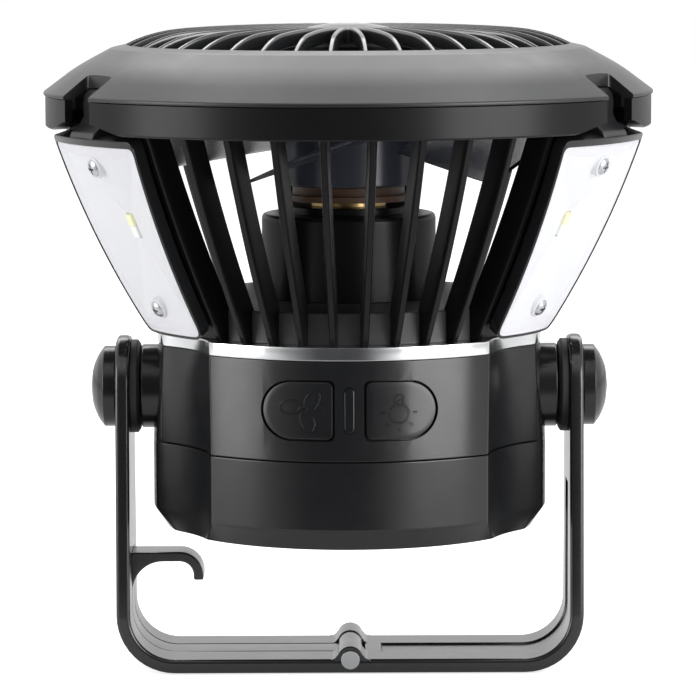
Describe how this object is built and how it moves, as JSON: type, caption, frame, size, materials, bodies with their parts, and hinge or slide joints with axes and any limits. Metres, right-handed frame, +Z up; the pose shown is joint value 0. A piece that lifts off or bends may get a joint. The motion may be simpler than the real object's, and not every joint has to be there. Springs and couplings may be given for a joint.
{
  "type": "portable camping fan",
  "caption": "Portable fan with a caged upward-facing rotor, side light modules, a round battery housing with push buttons, a tilting U stand and a fold-out hook.",
  "frame": {"origin": "middle of the stand's foot, on the surface it stands on", "axes": "+Z up along the fan's axis at rest, front with the buttons towards -Y, +X to the right seen from the front"},
  "size_m": [0.1644, 0.1641, 0.1749],
  "materials": {
    "stand_plastic": "satin",
    "shell_plastic": "satin gloss",
    "cage_plastic": "satin gloss",
    "blade_plastic": "gloss",
    "soft_plastic": "matte",
    "nylon": "matte",
    "reflector_plastic": "gloss white",
    "lens_plastic": "clear, faintly frosted",
    "ring_metal": "polished",
    "screw_steel": "zinc plated",
    "steel": "bright",
    "magnet": "ferrite",
    "copper": "enamelled copper wire",
    "brass_metal": "turned",
    "board": "solder mask",
    "white_board": "white solder mask",
    "phenolic": "phenolic paper",
    "led": "phosphor",
    "pipe_plastic": "clear",
    "cell_wrap": "wrapped cell",
    "nickel": "nickel strip",
    "wire_cover": "silicone"
  },
  "bodies": {
    "base": {"stand": "stand_plastic", "hinge_pin": "screw_steel", "pivot_washers": "soft_plastic", "pivot_caps": "shell_plastic"},
    "head": {"pivot_screws": "screw_steel", "pivot_inserts": "brass_metal", "lower_housing": "shell_plastic", "upper_housing": "shell_plastic", "base_screws": "screw_steel", "trim_ring": "ring_metal", "cage": "cage_plastic", "cage_screws": "screw_steel", "front_cover": "shell_plastic", "light_leds": "led", "lens_screws": "screw_steel", "light_leads": "nylon", "tact_switches": "soft_plastic", "switch_board": "board", "board_screws": "screw_steel", "light_pipe": "pipe_plastic", "main_board": "board", "usb_socket": "steel", "battery_holder": "soft_plastic", "battery_cells": "cell_wrap", "battery_tabs": "nickel", "power_leads": "wire_cover", "motor_pod": "cage_plastic", "pod_screws": "screw_steel", "motor_board": "phenolic", "motor_insulator": "phenolic", "motor_stator": "steel", "motor_windings": "copper", "bearing_tube": "brass_metal", "bearings": "steel", "light_housing_right": "shell_plastic", "light_reflector_right": "reflector_plastic", "light_board_right": "white_board", "light_lens_right": "lens_plastic", "light_housing_back": "shell_plastic", "light_reflector_back": "reflector_plastic", "light_board_back": "white_board", "light_lens_back": "lens_plastic", "light_housing_left": "shell_plastic", "light_reflector_left": "reflector_plastic", "light_board_left": "white_board", "light_lens_left": "lens_plastic"},
    "rotor": {"motor_shaft": "steel", "rotor_cup": "steel", "magnet_ring": "magnet", "fan_rotor": "blade_plastic"},
    "fan_button": {"fan_button": "shell_plastic", "fan_plunger": "nylon"},
    "light_button": {"light_button": "shell_plastic", "light_plunger": "nylon"},
    "hook": {"hook_arm": "stand_plastic"}
  },
  "joints": [
    {"name": "tilt", "type": "hinge", "parent": "base", "child": "head", "pos_m": [0, 0, 0.0764], "axis": [1, 0, 0], "range_deg": [-100, 100]},
    {"name": "fan_spin", "type": "hinge", "parent": "head", "child": "rotor", "pos_m": [0, 0, 0.13], "axis": [0, 0, 1], "continuous": true},
    {"name": "fan_button_press", "type": "slide", "parent": "head", "child": "fan_button", "axis": [0, 1, 0], "range_m": [0, 0.001], "stiffness_N_per_m": 600, "springref_m": -0.0005},
    {"name": "light_button_press", "type": "slide", "parent": "head", "child": "light_button", "axis": [0, 1, 0], "range_m": [0, 0.001], "stiffness_N_per_m": 600, "springref_m": -0.0005},
    {"name": "hook_fold", "type": "hinge", "parent": "base", "child": "hook", "pos_m": [0, 0, 0.0038], "axis": [0, -1, 0], "range_deg": [0, 90]}
  ]
}
